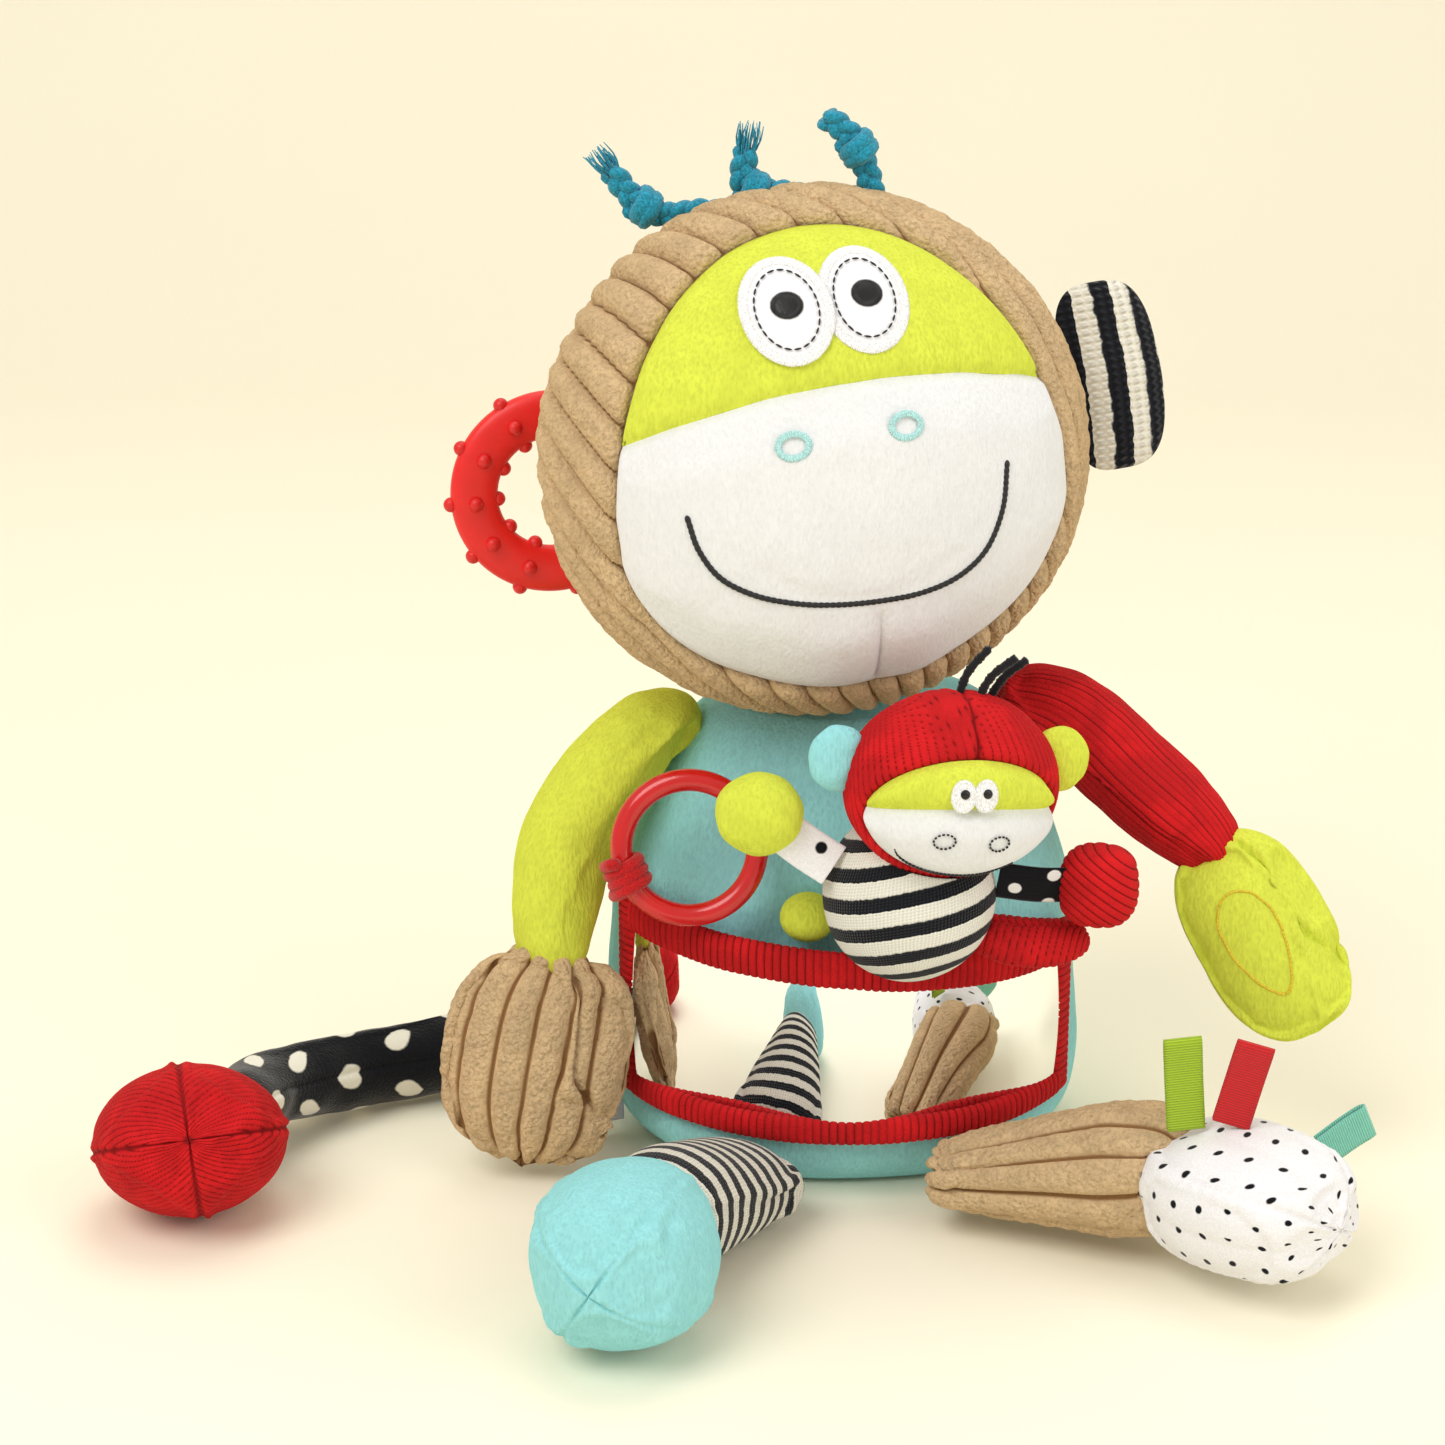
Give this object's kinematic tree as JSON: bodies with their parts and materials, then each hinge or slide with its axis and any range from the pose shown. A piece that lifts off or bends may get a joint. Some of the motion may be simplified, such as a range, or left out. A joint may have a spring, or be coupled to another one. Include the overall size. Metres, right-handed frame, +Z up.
{
  "type": "soft activity toy",
  "caption": "Seated plush monkey activity toy with a mirror pouch holding a small plush monkey, a nubbed teether ear, rope hair, ribbon tags, a grab ring and limbs in varied fabrics.",
  "frame": {"origin": "centre of the flat seat the toy sits on", "axes": "+Z up, the toy faces -Y, its own left side is towards +X"},
  "size_m": [0.4545, 0.3201, 0.3845],
  "materials": {
    "tan_chenille": "chunky corduroy chenille with rounded ribs",
    "lime_plush": "short soft plush",
    "aqua_plush": "short soft plush",
    "white_plush": "short soft plush",
    "white_satin_patch": "woven patch with a raised satin edge",
    "red_corduroy": "fine-wale corduroy",
    "fibre_filling": "loose polyester fibre",
    "bead_bag": "calico bag of pellets",
    "striped_knit": "black and white striped knit",
    "dotted_velvet": "black velvet with off-white dots",
    "dotted_jersey": "white jersey with small black dots",
    "mirror_film": "flexible mirror sheet, slightly wavy",
    "woven_label": "blank satin label",
    "red_cord": "round braided cord",
    "teal_rope": "thick braided rope",
    "black_cord": "thin round braided cord",
    "teether_plastic": "smooth, slightly soft",
    "ring_plastic": "glossy",
    "noise_maker_plastic": "plain",
    "lime_ribbon": "grosgrain ribbon",
    "red_ribbon": "grosgrain ribbon",
    "mint_ribbon": "grosgrain ribbon",
    "white_dotted_ribbon": "off-white tape with a black dot",
    "black_dotted_ribbon": "black tape with off-white dots"
  },
  "bodies": {
    "torso": {"torso_cover": "aqua_plush", "torso_filling": "fibre_filling", "seat_bead_bag": "bead_bag", "pouch_mirror": "mirror_film", "pouch_top_binding": "red_corduroy", "pouch_bottom_binding": "red_corduroy", "pouch_right_binding": "red_corduroy", "pouch_left_binding": "red_corduroy", "care_label": "woven_label", "ring_cord": "red_cord"},
    "neck": {"neck_plug": "aqua_plush"},
    "head": {"hood_front": "tan_chenille", "hood_back": "tan_chenille", "forehead_panel": "lime_plush", "muzzle_panel": "white_plush", "head_filling": "fibre_filling", "eye_patch": "white_satin_patch", "teether_loop": "tan_chenille", "hair_rope_1": "teal_rope", "hair_rope_2": "teal_rope", "hair_rope_3": "teal_rope"},
    "ear": {"striped_ear": "striped_knit"},
    "teether": {"teether_ring": "teether_plastic"},
    "right_arm": {"right_sleeve": "lime_plush", "right_arm_filling": "fibre_filling", "right_mitten": "tan_chenille", "squeaker": "noise_maker_plastic"},
    "left_arm": {"left_sleeve": "red_corduroy", "left_arm_filling": "fibre_filling", "left_mitten": "lime_plush"},
    "right_leg": {"right_leg_cover": "striped_knit", "right_leg_filling": "fibre_filling", "right_foot": "aqua_plush", "rattle_ball": "noise_maker_plastic"},
    "left_leg": {"left_leg_cover": "tan_chenille", "left_leg_filling": "fibre_filling", "left_foot": "dotted_jersey", "lime_ribbon_loop": "lime_ribbon", "red_ribbon_loop": "red_ribbon", "mint_ribbon_loop": "mint_ribbon"},
    "tail": {"dotted_tail": "dotted_velvet", "tail_filling": "fibre_filling", "tail_bulb": "red_corduroy"},
    "ring": {"grab_ring": "ring_plastic"},
    "baby": {"baby_body": "striped_knit", "baby_filling": "fibre_filling", "baby_right_foot": "lime_plush", "baby_left_foot": "red_corduroy"},
    "baby_head": {"baby_cap": "red_corduroy", "baby_forehead": "lime_plush", "baby_muzzle": "white_plush", "baby_right_ear": "aqua_plush", "baby_left_ear": "lime_plush", "baby_hair_cord_1": "black_cord", "baby_hair_cord_2": "black_cord", "baby_hair_cord_3": "black_cord"},
    "baby_right_arm": {"baby_right_arm": "white_dotted_ribbon", "baby_right_hand": "lime_plush"},
    "baby_left_arm": {"baby_left_arm": "black_dotted_ribbon", "baby_left_hand": "red_corduroy"}
  },
  "joints": [
    {"name": "neck_turn", "type": "hinge", "parent": "torso", "child": "neck", "pos_m": [-0.01, 0.002, 0.172], "axis": [0, 0, 1], "range_deg": [-20, 20], "stiffness_Nm_per_rad": 1.5},
    {"name": "head_nod", "type": "hinge", "parent": "neck", "child": "head", "pos_m": [-0.01, 0.002, 0.172], "axis": [1, 0, 0], "range_deg": [-12, 5], "stiffness_Nm_per_rad": 3},
    {"name": "right_shoulder", "type": "hinge", "parent": "torso", "child": "right_arm", "pos_m": [-0.072, -0.014, 0.16], "axis": [-0.9063, 0.4226, 0], "range_deg": [0, 95], "stiffness_Nm_per_rad": 0.05},
    {"name": "left_shoulder", "type": "hinge", "parent": "torso", "child": "left_arm", "pos_m": [0.075, -0.009, 0.168], "axis": [0, 1, 0], "range_deg": [-60, 8], "stiffness_Nm_per_rad": 0.3},
    {"name": "right_hip", "type": "hinge", "parent": "torso", "child": "right_leg", "pos_m": [-0.042, -0.094, 0.017], "axis": [-1, 0, 0], "range_deg": [0, 60]},
    {"name": "left_hip", "type": "hinge", "parent": "torso", "child": "left_leg", "pos_m": [0.04, -0.092, 0.02], "axis": [-1, 0, 0], "range_deg": [0, 45]},
    {"name": "tail_base", "type": "hinge", "parent": "torso", "child": "tail", "pos_m": [-0.012, 0.092, 0.026], "axis": [0, 0, 1], "range_deg": [-45, 0], "stiffness_Nm_per_rad": 0.4},
    {"name": "ear_fold", "type": "hinge", "parent": "head", "child": "ear", "pos_m": [0.0783, 0.00712, 0.28449], "axis": [-0.1686, 0.2289, 0.9587], "range_deg": [-40, 40], "stiffness_Nm_per_rad": 0.02},
    {"name": "teether_flap", "type": "hinge", "parent": "head", "child": "teether", "pos_m": [-0.07939, 0.03008, 0.24], "axis": [0, 0, 1], "range_deg": [-50, 0]},
    {"name": "ring_through_cord", "type": "hinge", "parent": "torso", "child": "ring", "pos_m": [-0.057, -0.066, 0.133], "axis": [0, 0.9703, -0.2419], "continuous": true},
    {"name": "baby_lift", "type": "slide", "parent": "torso", "child": "baby", "axis": [0, -0.342, 0.9397], "range_m": [0, 0.1]},
    {"name": "baby_head_turn", "type": "hinge", "parent": "baby", "child": "baby_head", "pos_m": [0.032, -0.104, 0.17], "axis": [0, 0, 1], "range_deg": [-20, 20], "stiffness_Nm_per_rad": 0.02},
    {"name": "baby_right_shoulder", "type": "hinge", "parent": "baby", "child": "baby_right_arm", "pos_m": [-0.008, -0.106, 0.142], "axis": [0, 1, 0], "range_deg": [-25, 15], "stiffness_Nm_per_rad": 0.01},
    {"name": "baby_left_shoulder", "type": "hinge", "parent": "baby", "child": "baby_left_arm", "pos_m": [0.05, -0.1, 0.134], "axis": [0, 1, 0], "range_deg": [-25, 3], "stiffness_Nm_per_rad": 0.01}
  ]
}
